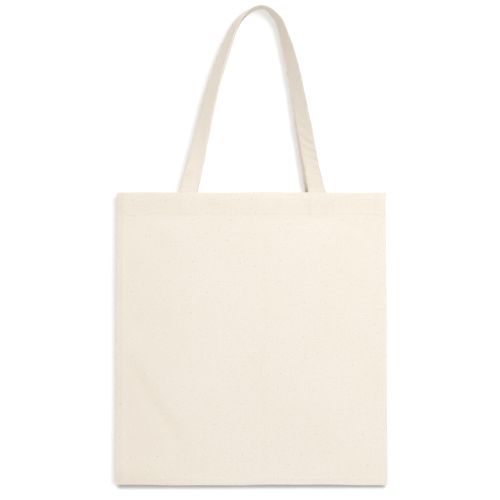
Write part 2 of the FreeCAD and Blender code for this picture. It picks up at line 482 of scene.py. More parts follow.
class Wires:
    """Adds nodes to a tree and joins them."""

    def __init__(self, tree):
        self.tree = tree

    def node(self, kind, **inputs):
        settings = {k[1:]: inputs.pop(k) for k in list(inputs) if k.startswith("_")}
        made = self.tree.nodes.new(kind)
        for key, value in settings.items():
            setattr(made, key, value)
        for key, value in inputs.items():
            by_number = key[0] == "i" and key[1:].isdigit()
            socket = made.inputs[int(key[1:]) if by_number else key.replace("_", " ")]
            if isinstance(value, bpy.types.NodeSocket):
                self.join(value, socket)
            else:
                socket.default_value = value
        return made

    def join(self, value, socket):
        self.tree.links.new(value, socket)

    def math(self, operation, a, b=0.0, clamp=False):
        return self.node("ShaderNodeMath", _operation=operation, _use_clamp=clamp, i0=a, i1=b).outputs[0]

    def times(self, a, b, clamp=False):
        return self.math("MULTIPLY", a, b, clamp)

    def plus(self, a, b):
        return self.math("ADD", a, b)

    def less(self, a, b):
        return self.math("SUBTRACT", a, b)

    def noise(self, place, scale, detail, roughness=0.5):
        made = self.node("ShaderNodeTexNoise", Vector=place, Scale=scale, Detail=detail, Roughness=roughness)
        return made.outputs[0]

    def stretched(self, place, scale, shift=(0, 0, 0)):
        return self.node("ShaderNodeMapping", Vector=place, Scale=scale, Location=shift).outputs[0]

    def split(self, place):
        return self.node("ShaderNodeSeparateXYZ", Vector=place).outputs

    def use(self, tree, **inputs):
        return self.node("ShaderNodeGroup", _node_tree=tree, **inputs).outputs

    def remap(self, value, low, high, to_low=0.0, to_high=1.0):
        made = self.node("ShaderNodeMapRange", i0=value, i1=low, i2=high, i3=to_low, i4=to_high)
        return made.outputs[0]

    def mix(self, factor, a, b, blend="MIX"):
        made = self.node("ShaderNodeMix", _data_type="RGBA", _blend_type=blend, i0=factor, i6=a, i7=b)
        return made.outputs[2]


def shader_group(name, inputs, outputs):
    """Makes the function under it build the group of that name once: it gives the outputs' values in order."""
    def wrap(build):
        def group():
            if name not in bpy.data.node_groups:
                tree = bpy.data.node_groups.new(name, "ShaderNodeTree")
                for label, kind, default in inputs:
                    socket = tree.interface.new_socket(label, in_out="INPUT", socket_type=kind)
                    if default is not None:
                        socket.default_value = default
                for label in outputs:
                    tree.interface.new_socket(label, in_out="OUTPUT", socket_type=FLOAT)
                w = Wires(tree)
                take = tree.nodes.new("NodeGroupInput").outputs
                give = tree.nodes.new("NodeGroupOutput").inputs
                for label, value in zip(outputs, build(w, take)):
                    w.join(value, give[label])
            return bpy.data.node_groups[name]
        return group
    return wrap


VECTOR, FLOAT = "NodeSocketVector", "NodeSocketFloat"


@shader_group("Plain weave", [("Place", VECTOR, None), ("Yarn pitch", FLOAT, 0.8 * MM)], ["Height", "Tone"])
def plain_weave(w, take):
    """Over-and-under yarns: their height and how much each differs in tone."""
    wobble = w.node("ShaderNodeTexNoise", Vector=take["Place"], Scale=160.0, Detail=1.0)
    shift = w.node("ShaderNodeVectorMath", _operation="SUBTRACT", i0=wobble.outputs["Color"], i1=(0.5, 0.5, 0.5))
    shift = w.node("ShaderNodeVectorMath", _operation="SCALE", i0=shift.outputs[0], Scale=0.6 * MM)
    place = w.node("ShaderNodeVectorMath", _operation="ADD", i0=take["Place"], i1=shift.outputs[0]).outputs[0]
    parts = w.split(place)
    turn = w.math("DIVIDE", math.pi, take["Yarn pitch"])
    across = w.math("SINE", w.times(parts["X"], turn))
    along = w.math("SINE", w.times(parts["Y"], turn))
    over = w.times(across, along)
    ridges = [w.times(w.less(1.0, w.times(wave, wave)), w.remap(over, -way, way))
              for wave, way in ((across, 1), (along, -1))]
    tones = [w.noise(w.stretched(place, scale), 1.0, 0.0) for scale in ((950, 190, 1), (190, 950, 1))]
    tone = w.node("ShaderNodeMix", _data_type="FLOAT", i0=w.remap(over, -0.2, 0.2), i2=tones[0], i3=tones[1])
    return w.math("MAXIMUM", *ridges), tone.outputs[0]


@shader_group("Slub yarns", [("Place", VECTOR, None)], ["Height", "Tone", "Cloud", "Speckle"])
def slub_yarns(w, take):
    """Yarns that are thick for a stretch, warp and weft, and cloudy tone over the cloth."""
    place = take["Place"]
    runs = [w.noise(w.stretched(place, scale, (shift, 2 * shift, 0)), 1.0, 1.5, 0.6)
            for scale, shift in (((620, 30, 1), 3.0), ((30, 620, 1), 9.0))]
    thick = w.math("MAXIMUM", *(w.remap(run, 0.60, 0.78) for run in runs))
    return thick, w.times(w.plus(*runs), 0.5), w.noise(place, 11.0, 3.0, 0.55), w.noise(place, 620.0, 2.0, 0.6)


@shader_group("Seed flecks", [("Place", VECTOR, None), ("Amount", FLOAT, 0.5)], ["Mask"])
def seed_flecks(w, take):
    """Scattered bits of husk: small, longer along the yarns, most of them faint."""
    masks = []
    # cells per metre, a fleck's size in cells, share of cells that hold one, its faintest and its darkest
    for spacing, size, share, faint, dark, shift in (
            ((170, 150, 1), 0.125, 0.75, 0.14, 0.62, 0.0), ((58, 70, 1), 0.058, 0.42, 0.40, 1.0, 5.0)):
        cells = w.node("ShaderNodeTexVoronoi", _voronoi_dimensions="2D", Scale=1.0, Randomness=1.0,
                       Vector=w.stretched(take["Place"], spacing, (shift, shift, 0)))
        chance = w.node("ShaderNodeSeparateColor", i0=cells.outputs["Color"]).outputs
        kept = w.math("LESS_THAN", chance[0], w.times(take["Amount"], share))
        spot = w.remap(cells.outputs["Distance"], size, size * 0.4)
        masks.append(w.times(w.times(spot, kept), w.remap(w.math("POWER", chance[1], 2.0), 0, 1, faint, dark)))
    return [w.math("MAXIMUM", *masks)]


@shader_group("Edge wear", [("Place", VECTOR, None), ("Edge", FLOAT, 0.0)], ["Mask"])
def edge_wear(w, take):
    """Where folded edges have rubbed: the painted edge value broken up by the cloth's grain."""
    fine = w.remap(w.noise(take["Place"], 900.0, 3.0, 0.7), 0.35, 0.65)
    broad = w.remap(w.noise(take["Place"], 60.0, 2.0), 0.3, 0.6, 0.35, 1.0)
    return [w.times(take["Edge"], w.times(fine, broad), clamp=True)]


@shader_group(
    "Pulled row",
    [("Along", FLOAT, 0.0), ("Away", FLOAT, 0.0), ("Stitch pitch", FLOAT, 3.2 * MM), ("Width", FLOAT, 1.2 * MM)],
    ["Height", "Hole shade"])
def pulled_row(w, take):
    """The dimples that a row of stitches leaves in cloth, along one line, and the painted shade where the needle went
    through.
    """
    swing = w.math("COSINE", w.times(take["Along"], w.math("DIVIDE", 2 * math.pi, take["Stitch pitch"])))
    ratio = w.math("DIVIDE", take["Away"], take["Width"])
    near = w.math("DIVIDE", 1.0, w.plus(1.0, w.times(ratio, ratio)))
    near = w.times(near, near)
    sunk = w.times(near, w.remap(swing, -1, 1, 0.35, 1.0))
    return w.less(1.0, sunk), w.times(w.remap(near, 0.55, 0.9), w.remap(swing, 0.75, 0.98))


def toned(colour, *by):
    """A colour with its red, green and blue each taken so many times, and full alpha."""
    return (*(min(1, c * k) for c, k in zip(colour, by)), 1)


def new_material(name):
    material = bpy.data.materials.new(name)
    material.use_nodes = True
    tree = material.node_tree
    tree.nodes.clear()
    shader = tree.nodes.new("ShaderNodeBsdfPrincipled")
    end = tree.nodes.new("ShaderNodeOutputMaterial")
    tree.links.new(shader.outputs[0], end.inputs["Surface"])
    return material, Wires(tree), shader


def cotton(name, colour, rows, pull):
    """Undyed cotton cloth; rows gives the lines of stitches that pull it, by its own map, and pull how strongly."""
    if name in bpy.data.materials:
        return bpy.data.materials[name]
    finish = bpy.context.scene.tote_finish
    material, w, shader = new_material(name)
    place = w.node("ShaderNodeUVMap", _uv_map="cloth").outputs[0]
    weave = w.use(plain_weave(), Place=place, Yarn_pitch=finish.yarn_pitch)
    slubs = w.use(slub_yarns(), Place=place)
    flecks = w.use(seed_flecks(), Place=place, Amount=1.0)
    edge, pressed = (w.node("ShaderNodeAttribute", _attribute_name=name).outputs["Fac"]
                     for name in ("edge", "pressed"))
    worn = w.use(edge_wear(), Place=place, Edge=edge)["Mask"]
    base = (*colour, 1)
    # one darker colour serves for darker yarns at random and for painted shade between the yarns
    darker_yarn_and_shade, light = toned(colour, 0.88, 0.86, 0.835), toned(colour, 1.05, 1.055, 1.065)
    # the first colour is a cloudy tone of the cloth; the second is the darker, warmer colour of painted shade
    tinted, painted_shade_tan = toned(colour, 0.985, 0.967, 0.94), toned(colour, 0.83, 0.80, 0.73)
    shown = w.mix(w.remap(slubs["Cloud"], 0.35, 0.65), base, tinted)
    shown = w.mix(w.remap(slubs["Tone"], 0.36, 0.64, 0.0, 0.22), shown, darker_yarn_and_shade)
    shown = w.mix(w.remap(slubs["Speckle"], 0.30, 0.70), shown, darker_yarn_and_shade)
    shown = w.mix(w.times(slubs["Height"], 0.35), shown, light)
    shown = w.mix(w.remap(weave["Tone"], 0.35, 0.65, 0.0, 0.40), shown, darker_yarn_and_shade)
    # painted shade in the low places between the yarns
    shown = w.mix(w.remap(weave["Height"], 0.0, 0.35, 0.45, 0.0), shown, darker_yarn_and_shade)
    # painted shade: where the stored painted shade value is set, the cloth is mixed towards its darker, warmer shade
    # colour
    shown = w.mix(pressed, shown, painted_shade_tan)
    shown = w.mix(w.times(worn, 0.15), shown, light)
    shown = w.mix(w.times(flecks["Mask"], 0.6), shown, (*finish.fleck, 1))
    height = w.times(weave["Height"], 0.55)
    height = w.plus(height, w.times(slubs["Height"], 0.45))
    height = w.plus(height, w.times(worn, 0.15))
    for along, away in rows(w, place):
        row = w.use(pulled_row(), Along=along, Away=away)
        height = w.plus(height, w.times(row["Height"], 0.8 * pull))
        # painted shade where each stitch goes through the cloth
        shown = w.mix(w.times(row["Hole shade"], 0.4 * pull), shown, toned(colour, 0.45, 0.4, 0.35))
    w.join(shown, shader.inputs["Base Color"])
    rough = w.remap(weave["Tone"], 0.3, 0.7, 0.82, 0.94)
    w.join(w.plus(rough, w.times(worn, 0.05)), shader.inputs["Roughness"])
    lift = w.node("ShaderNodeBump", Strength=0.6, Distance=0.35 * MM, Height=height)
    w.join(lift.outputs[0], shader.inputs["Normal"])
    settings = {"Specular IOR Level": 0.25, "Sheen Weight": 0.18, "Sheen Roughness": 0.6,
                "Sheen Tint": (1.0, 0.97, 0.93, 1)}
    for label, value in settings.items():
        shader.inputs[label].default_value = value
    return material


def canvas_material():
    m = Measures()

    def rows(w, place):
        parts = w.split(place)
        above = w.less(parts["Y"], float(m.hem_row_z(0.0)) - m.base_z)
        yield parts["X"], w.plus(above, w.times(parts["X"], m.s.hem_slant / (2 * m.half_width)))

    return cotton("Canvas cloth", tuple(bpy.context.scene.tote_finish.canvas), rows, 0.3)


# each face of a handle takes a strip this wide of the handle's map
FACE_STRIP = 27 * MM


def strap_material():
    m = Measures()

    def rows(w, place):
        parts = w.split(place)
        across = w.math("PINGPONG", parts["X"], FACE_STRIP)
        across = w.math("ABSOLUTE", w.less(across, FACE_STRIP / 2))
        yield parts["Y"], w.less(across, m.row_offset)

    return cotton("Handle cotton", tuple(bpy.context.scene.tote_finish.strap), rows, 0.6)


def thread_material(name, colour, twist):
    """Plied cotton thread with slanting strands."""
    if name in bpy.data.materials:
        return bpy.data.materials[name]
    material, w, shader = new_material(name)
    parts = w.split(w.node("ShaderNodeUVMap", _uv_map="cloth").outputs[0])
    solid = w.node("ShaderNodeTexCoord").outputs["Object"]
    turns = w.plus(w.times(parts["Y"], 2 * math.pi / twist), w.times(parts["X"], 4 * math.pi))
    strand = w.remap(w.math("SINE", turns), -1, 1)
    fuzz, broad = w.noise(solid, 900.0, 2.0), w.noise(solid, 70.0, 2.0)
    dark = toned(colour, 0.78, 0.74, 0.69)
    # painted shade in the grooves between the strands; the next line adds a broad darker tone at random
    shown = w.mix(w.remap(strand, 0.0, 0.6, 0.75, 0.0), (*colour, 1), dark)
    w.join(w.mix(w.remap(broad, 0.35, 0.7, 0.0, 0.35), shown, dark), shader.inputs["Base Color"])
    height = w.plus(strand, w.times(fuzz, 0.5))
    lift = w.node("ShaderNodeBump", Strength=0.5, Distance=0.12 * MM, Height=height)
    w.join(lift.outputs[0], shader.inputs["Normal"])
    w.join(w.remap(fuzz, 0.3, 0.7, 0.62, 0.8), shader.inputs["Roughness"])
    shader.inputs["Sheen Weight"].default_value = 0.2
    shader.inputs["Sheen Roughness"].default_value = 0.5
    return material


def sewing_thread():
    return thread_material("Sewing thread", tuple(bpy.context.scene.tote_finish.thread), 1.1 * MM)


def overlock_thread():
    return thread_material("Overlock thread", tuple(c * 0.97 for c in bpy.context.scene.tote_finish.thread), 0.9 * MM)


# ---------------------------------------------------------------- the pieces


class TOTE_OT_hang_panels(bpy.types.Operator):
    """Hang each panel as a sheet of cloth from its handles and keep the folds that it falls into"""

    bl_idname = "tote.hang_panels"
    bl_label = "Hang the panels"

    def execute(self, context):
        m = Measures()
        s = m.s
        scene = context.scene
        for side, name in SIDE_NAMES.items():
            xs = np.linspace(-m.half_width, m.half_width, 77)
            zs = np.linspace(m.base_z, m.mouth_z, 83)
            obj, u, v = flat_cloth(f"{name}_hanging_cloth", xs, zs)
            rest_out = smooth_face(m, u, v)
            rng = np.random.default_rng(7 + side)
            nudge = sum(
                0.25 * MM * np.sin(u * rng.uniform(20, 70) + v * rng.uniform(-60, 60) + rng.uniform(0, 6))
                for _ in range(6))
            inner = smooth(0, 20 * MM, m.half_width - np.abs(u)) * smooth(0, 20 * MM, v - m.base_z)
            put(obj, np.column_stack([u, side * (rest_out + nudge * inner), v]))
            held = obj.vertex_groups.new(name="held")
            roots = m.roots[side]
            for k in range(len(u)):
                seam = abs(u[k]) > m.half_width - 2.5 * MM or v[k] < m.base_z + 2.5 * MM
                sewn = v[k] > m.mouth_z - s.hem_depth and min(abs(u[k] - r) for r in roots) < 14 * MM
                hem = v[k] > m.mouth_z - 3 * MM
                weight = 1.0 if seam or sewn else 0.25 if hem else 0.0
                if weight:
                    held.add([k], weight, "REPLACE")
            only(obj)
            cloth = obj.modifiers.new("Cloth", "CLOTH")
            c = cloth.settings
            c.quality = 6
            c.mass = 0.00002
            c.tension_stiffness = c.compression_stiffness = 25
            c.shear_stiffness = 8
            c.bending_stiffness = 0.35
            c.air_damping = 3
            c.vertex_group_mass = "held"
            c.pin_stiffness = 1.0
            c.shrink_min = -0.006
            c.shrink_max = -0.006
            cloth.collision_settings.use_collision = False
            cloth.collision_settings.use_self_collision = False
            cloth.point_cache.frame_start = 1
            cloth.point_cache.frame_end = 34
            for frame_number in range(1, 33):
                scene.frame_set(frame_number)
            bpy.ops.object.modifier_apply(modifier=cloth.name)
            co = places(obj)
            moved = side * co[:, 1] - rest_out
            limit = s.drape_limit
            moved = limit * np.tanh(moved / limit)
            field = np.zeros((len(xs), len(zs)))
            field[np.searchsorted(xs, u - 1e-6), np.searchsorted(zs, v - 1e-6)] = moved
            for _ in range(2):
                pad = np.pad(field, 1, mode="edge")
                field = (pad[:-2, 1:-1] + pad[2:, 1:-1] + pad[1:-1, :-2] + pad[1:-1, 2:] + 2 * pad[1:-1, 1:-1]) / 6
            HANG[side] = (xs, zs, field)
            print(f"{name} hung: moved from {moved.min() / MM:.2f} to {moved.max() / MM:.2f} mm")
            bpy.data.objects.remove(obj)
        scene.frame_set(1)
        return {"FINISHED"}


class TOTE_OT_sew_panels(bpy.types.Operator):
    """Cut the front and back panels, turn in their hems and seam allowances, and give them their folds"""

    bl_idname = "tote.sew_panels"
    bl_label = "Front and back panels"

    def execute(self, context):
        for side, name in SIDE_NAMES.items():
            self.make_panel(side, name)
        return {"FINISHED"}

    def make_panel(self, side, name):
        m = Measures()
        s = m.s
        half_cloth = s.cloth / 2
        seam_turn = m.seam_gap / 2
        hem_turn = -m.hem_layer / 2
        side_at = m.half_width - half_cloth - seam_turn
        base_at = m.base_z + half_cloth + seam_turn
        top_at = m.mouth_z - half_cloth - hem_turn
        high = top_at - base_at
        seam_arc, hem_arc = math.pi * seam_turn, math.pi * hem_turn
        row = float(m.hem_row_z(0.0)) - base_at

        # lines across the cloth: allowance, fold, then the face with finer lines at the handles' edges
        us = lines((-side_at - seam_arc - s.allowance, -side_at - seam_arc, 2.7 * MM),
                   (-side_at - seam_arc, -side_at, 0.25 * MM),
                   (-side_at, -side_at + 14 * MM, 1.4 * MM), (-side_at + 14 * MM, -106 * MM, 2.5 * MM),
                   (-106 * MM, -70 * MM, 1.2 * MM), (-70 * MM, 70 * MM, 2.8 * MM),
                   (70 * MM, 110 * MM, 1.2 * MM), (110 * MM, side_at - 14 * MM, 2.5 * MM),
                   (side_at - 14 * MM, side_at, 1.4 * MM), (side_at, side_at + seam_arc, 0.25 * MM),
                   (side_at + seam_arc, side_at + seam_arc + s.allowance, 2.7 * MM))
        vs = lines((-seam_arc - s.allowance, -seam_arc, 2.7 * MM), (-seam_arc, 0, 0.25 * MM),
                   (0, 14 * MM, 1.4 * MM), (14 * MM, row - 12 * MM, 2.5 * MM),
                   (row - 12 * MM, row + 9 * MM, 0.85 * MM), (row + 9 * MM, high - 6 * MM, 2.2 * MM),
                   (high - 6 * MM, high, 1 * MM), (high, high + hem_arc, 0.2 * MM),
                   (high + hem_arc, high + hem_arc + s.hem_depth + 1.6 * MM, 2.4 * MM))
        panel, u, v = flat_cloth(f"{name}_canvas_panel", us, vs)

        # fold the flat cloth: the sides and the base turn inwards, the top turns in and down
        fold_u = np.clip((np.abs(u) - side_at) / seam_turn, 0, math.pi)
        fold_b = np.clip(-v / seam_turn, 0, math.pi)
        fold_t = np.clip((v - high) / hem_turn, 0, math.pi)
        past_u = np.clip(np.abs(u) - side_at - seam_arc, 0, None)
        past_b = np.clip(-v - seam_arc, 0, None)
        past_t = np.clip(v - high - hem_arc, 0, None)
        x = np.sign(u) * (np.minimum(np.abs(u), side_at) + seam_turn * np.sin(fold_u) - past_u)
        z = base_at + np.clip(v, 0, high) - seam_turn * np.sin(fold_b) + past_b + hem_turn * np.sin(fold_t) - past_t
        on_face = (fold_u == 0) & (fold_b == 0)
        out = face_at(m, side, x, z) + half_cloth - hem_turn + hem_turn * np.cos(fold_t)
        turned = np.maximum(fold_u, fold_b)
        seam_layer = half_cloth + seam_turn + seam_turn * np.cos(turned)
        # at the fold itself the belly is nearly nothing, so the two rules meet there
        out = np.where(on_face, out, seam_layer)
        put(panel, settle(m, np.column_stack([x, side * out, z])))

        rim = np.maximum(bump(np.abs(u), side_at, 1.6 * MM), bump(v, 0, 1.6 * MM))
        rim = np.maximum(rim, bump(v, high + hem_arc / 2, 1.5 * MM))
        rim = np.maximum(rim, 0.35 * bump(v, row - 2 * MM, 1.4 * MM))
        paint(panel, "edge", rim)
        # the painted shade goes on the panel's face only, not on its turned-in hem and allowances
        paint(panel, "pressed", shaded(m, side, x, z) * (v < high + hem_arc * 0.6) * on_face)

        # the corners are cut out, so that the allowances and the hem don't lie on each other
        free = m.half_width - 9.7 * MM
        drop = (np.abs(u) > free) & (v > high + hem_arc * 0.55)
        drop |= (np.abs(u) > side_at - 1e-7) & (v > high - 1e-7)
        drop |= (np.abs(u) > free) & (v < -0.55 * seam_arc)
        drop |= (np.abs(u) > side_at + 1e-7) & (v < 1e-7)
        cut_away(panel, drop)
        if side == BACK:
            in_edit_mode(panel, bpy.ops.mesh.flip_normals)
        give_thickness(panel, s.cloth)
        shade(panel, 50)
        dress(panel, canvas_material())
        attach(panel, "bag")
        seams = ("left_seam_allowance", "bottom_seam_allowance") if side == FRONT else ("right_seam_allowance",)
        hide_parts(f"{name}_panel", f"{name}_hem", *seams)


def arch(m, side):
    """The strap's middle line from its left end to its right end, finely divided."""
    s = m.s
    left_root, right_root = m.roots[side]
    start_z = m.mouth_z + 0.3 * MM
    apex = (s.crown_shift, m.mouth_z + s.handle_rise)
    halves = [
        ((left_root, start_z), (left_root + s.leg_inset, start_z + s.leg_rise),
         (apex[0] - s.left_reach, apex[1]), apex),
        (apex, (apex[0] + s.right_reach, apex[1]),
         (right_root - s.leg_inset, start_z + s.leg_rise), (right_root, start_z)),
    ]
    t = np.linspace(0, 1, 600)[:, None]
    points = []
    for poles in halves:
        a, b, c, d = (np.array(p) for p in poles)
        points.append(a * (1 - t) ** 3 + 3 * b * t * (1 - t) ** 2 + 3 * c * t**2 * (1 - t) + d * t**3)
    line = np.vstack([points[0], points[1][1:]])
    gone = np.concatenate([[0], np.cumsum(np.hypot(*np.diff(line, axis=0).T))])
    direction = np.gradient(line, gone, axis=0)
    direction /= np.hypot(*direction.T)[:, None]
    return gone, line, direction


class Strap:
    """One handle's strap: it turns a place along, across and through the strap into a place in the bag's frame."""

    def __init__(self, m, side):
        self.m, self.side = m, side
        self.gone, self.line, self.direction = arch(m, side)
        self.loop = self.gone[-1]
        self.tail = m.s.hem_depth + 0.3 * MM
        self.length = self.loop + 2 * self.tail

    def place(self, along, across, through):
        """along runs from the left end's raw edge; across and through are from the strap's middle."""
        m, side = self.m, self.side
        along, across, through = np.broadcast_arrays(along, across, through)
        gone = along - self.tail
        inner = np.clip(gone, 0, self.loop)
        x = np.interp(inner, self.gone, self.line[:, 0])
        z = np.interp(inner, self.gone, self.line[:, 1])
        dx = np.interp(inner, self.gone, self.direction[:, 0])
        dz = np.interp(inner, self.gone, self.direction[:, 1])
        z = z - np.clip(-gone, 0, None) - np.clip(gone - self.loop, 0, None)
        near_end = np.minimum(gone, self.loop - gone)
        upright = smooth(-1 * MM, 24 * MM, near_end)
        sign = np.where(gone < self.loop / 2, 1.0, -1.0)
        out_x = -sign * (1 - upright) - dz * upright
        out_z = dx * upright
        size = np.hypot(out_x, out_z)
        out_x, out_z = out_x / size, out_z / size
        share = inner / self.loop
        turn = math.pi * self.turned(share)
        cos, sin = np.cos(turn), np.sin(turn)
        middle = m.root_y[side] + (m.apex_y[side] - m.root_y[side]) * sin
        # inside the mouth the strap lies on the hem, and follows it
        px = x + across * out_x * cos + through * out_x * sin
        pz = z + across * out_z * cos + through * out_z * sin
        on_hem = face_at(m, side, px, np.minimum(pz, m.mouth_z)) + m.strap_layer + m.s.strap_thickness / 2
        free = smooth(m.mouth_z - 5 * MM, m.mouth_z + 7 * MM, z)
        middle = on_hem * (1 - free) + middle * free
        py = side * (middle - across * sin + through * cos)
        return np.stack([px, py, pz], -1)

    def turned(self, share):
        """The strap's turn in half turns: quick just above the mouth, then slow, then quick over the crown."""
        half = ((0, 0), (0.05, 0.055), (0.12, 0.165), (0.18, 0.222), (0.26, 0.262), (0.345, 0.300), (0.43, 0.385),
                (0.5, 0.5))
        knots = np.array([(-0.05, -0.055), *half, *((1 - a, 1 - b) for a, b in half[-2::-1]), (1.05, 1.055)]).T
        return sum(np.interp(share + d, *knots) for d in np.linspace(-0.03, 0.03, 7)) / 7

    def rolled(self, along, across):
        """How far wear and handling have rolled, rippled and roped the strap out of flat: (through, across)."""
        side = self.side
        share = np.clip((along - self.tail) / self.loop, 0, 1)
        free = smooth(0.01, 0.06, share) * (1 - smooth(0.955, 0.995, share))
        phase = 1.3 * side
        a = across / (self.m.strap_width / 2)
        # slanting ropes low on the right leg, fainter ones elsewhere
        slant = along / (12.6 * MM) + 0.70 * a + 0.35 * np.sin(along / (23 * MM)) + 0.10 * np.sin(along / (8.6 * MM))
        uneven = 0.65 + 0.35 * np.sin(along / (16 * MM) + 2.1 * a)
        ropes = np.sin(2 * math.pi * slant + phase)
        strength = 0.07 + 0.30 * bump(share, 0.90, 0.10) + 0.10 * bump(share, 0.06, 0.05)
        ripple = 0.30 * np.sin(along / (19 * MM) + 2 * phase) * a + 0.35 * np.sin(along / (33 * MM) + phase)
        roll = 0.45 * (a * a - 0.35) * np.sin(along / (90 * MM) + phase)
        # a dented, softer place just above the left root, and a slight corner on each side of the crown
        dent = -0.55 * bump(share, 0.035, 0.012) * bump(a, 0.35, 0.5)
        crown = 1.1 * bump(share, 0.572, 0.016) - 0.5 * bump(share, 0.520, 0.022) + 2.0 * bump(share, 0.440, 0.035)
        crown = crown + (1.6 * bump(share, 0.50, 0.09) if side == BACK else 0.0)
        through = (strength * ropes * uneven + 0.5 * ripple + roll + crown) * free + dent * smooth(0.005, 0.02, share)
        # it is a little narrower and further left just above the mouth, where its edges curl
        narrow = 1.5 * bump(share, 0.93, 0.09) + 1.1 * bump(share, 0.08, 0.07)
        narrow = narrow * smooth(0, 0.015, share) * (1 - smooth(0.985, 1, share))
        edge = (0.30 * np.sin(along / (14 * MM) + 3 * phase) + 0.25 * np.sin(along / (6.1 * MM))) * free - narrow
        shift = -1.2 * bump(share, 0.11, 0.07) * smooth(0, 0.04, share)
        return through * MM, (edge * a + shift) * MM


class TOTE_OT_sew_handles(bpy.types.Operator):
    """Fold each handle's strap, sew its ends inside the mouth and let it turn half round on its way over"""

    bl_idname = "tote.sew_handles"
    bl_label = "Handles"

    def execute(self, context):
        m = Measures()
        s = m.s
        half, thick = m.strap_width / 2, s.strap_thickness / 2
        # the strap's outline, once round: crowned faces, rows pulled in, folded layers at the edges
        steps = [0.2, 0.4, 0.6, 0.74, 0.79, 0.84, 0.885, 0.93, 0.965, 1]
        steps = [-k for k in reversed(steps)] + [0] + steps
        row = m.row_offset / half
        outline = []
        for face in (1, -1):
            for k in steps:
                a = face * k
                t = 0.97 - 0.30 * math.exp(-(((abs(a) - row) / 0.045) ** 2)) - 0.42 * max(0, (abs(a) - 0.9) / 0.1) ** 2
                outline.append((-a * (half - 0.05 * MM), face * t * thick))
            # the fold between the layers shows as a groove along the edge
            outline.append((-face * (half + 0.02 * MM), face * 0.22 * thick))
            outline.append((-face * (half - 0.28 * MM), 0.0))
            outline.append((-face * half, -face * 0.22 * thick))
        outline.append(outline[0])
        gaps = [math.hypot(b[0] - a[0], b[1] - a[1]) for a, b in zip(outline, outline[1:])]
        round_way = np.concatenate([[0], np.cumsum(gaps)])
        girth = round_way[-1]
        shape = np.array(outline)
        for side, name in SIDE_NAMES.items():
            strap = Strap(m, side)
            vs = lines((0, strap.tail - 4 * MM, 3 * MM), (strap.tail - 4 * MM, strap.tail + 26 * MM, 1.5 * MM),
                       (strap.tail + 26 * MM, strap.length - strap.tail - 26 * MM, 2 * MM),
                       (strap.length - strap.tail - 26 * MM, strap.length - strap.tail + 4 * MM, 1.5 * MM),
                       (strap.length - strap.tail + 4 * MM, strap.length, 3 * MM))
            piece, u, v = flat_cloth(f"{name}_handle_strap", list(round_way), vs)
            across = np.interp(u, round_way, shape[:, 0])
            through = np.interp(u, round_way, shape[:, 1])
            lift, widen = strap.rolled(v, across)
            put(piece, strap.place(v, across + widen, through + lift))
            # the map's across is the same on both faces, each in the middle of its own strip
            layer = piece.data.uv_layers["cloth"]
            uv = np.zeros(len(piece.data.loops) * 2)
            layer.data.foreach_get("uv", uv)
            uv = uv.reshape(-1, 2)
            face_across = np.interp(uv[:, 0], round_way, shape[:, 0])
            uv[:, 0] = np.where(uv[:, 0] > girth / 2, 1.5, 0.5) * FACE_STRIP + face_across
            layer.data.foreach_set("uv", uv.ravel().astype(np.float32))
            paint(piece, "edge", 0.4 * bump(np.abs(across), half, 1.0 * MM))
            share = (v - strap.tail) / strap.loop
            # painted shade on the strap: over the crown, along the edges where it turns away from the light, in the
            # dent above the left root, in the hollows between its ropes, and over the lower part of the right leg
            left_edge = smooth(0.72, 0.92, across / half) * (1 - smooth(0.97, 0.99, share))
            painted_shade_tan = 0.34 * bump(share, 0.53, 0.08) + 0.06 * left_edge * smooth(0.6, 0.8, share)
            painted_shade_tan += 0.38 * bump(share, 0.034, 0.018) * bump(across / half, 0.45, 0.35)
            painted_shade_tan += 0.45 * smooth(0.95, 0.985, -across / half * np.sign(share - 0.5))
            painted_shade_tan += 0.50 * smooth(0.90, 0.96, across / half) * bump(share, 0.36, 0.12)
            painted_shade_tan += 0.50 * smooth(0.90, 0.96, -across / half) * bump(share, 0.60, 0.12)
            painted_shade_tan += 0.20 * np.clip(-lift / (0.4 * MM), 0, 1) * bump(share, 0.90, 0.10)
            painted_shade_tan += 0.25 * smooth(0.80, 0.97, share)
            paint(piece, "pressed", np.clip(painted_shade_tan, 0, 1))
            close_ends(piece, lambda: bpy.ops.mesh.remove_doubles(threshold=0.01 * MM))
            shade(piece, 55)
            dress(piece, strap_material())
            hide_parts(f"{name}_handle", f"{name}_left_handle_end", f"{name}_right_handle_end")
            blend_over_mouth(piece, side, name)
        return {"FINISHED"}


def blend_over_mouth(piece, side, name):
    """Bakes the piece's placement into its mesh points."""
    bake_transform(piece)


# ---------------------------------------------------------------- stitches


def one_stitch(m):
    """A single stitch of unit length along X, arched on top, its ends dipping into the cloth."""
    nothing_selected()
    bpy.ops.mesh.primitive_uv_sphere_add(segments=6, ring_count=5, radius=0.5, rotation=(0, math.pi / 2, 0))
    obj = bpy.context.object
    bpy.ops.object.transform_apply(location=True, rotation=True, scale=True)
    co = places(obj)
    co[:, 0] = 0.5 * np.sign(co[:, 0]) * (np.abs(co[:, 0]) * 2) ** 0.7
    co[:, 2] -= 1.3 * co[:, 0] ** 2
    faces = [tuple(p.vertices) for p in obj.data.polygons]
    bpy.data.objects.remove(obj)
    return co, faces


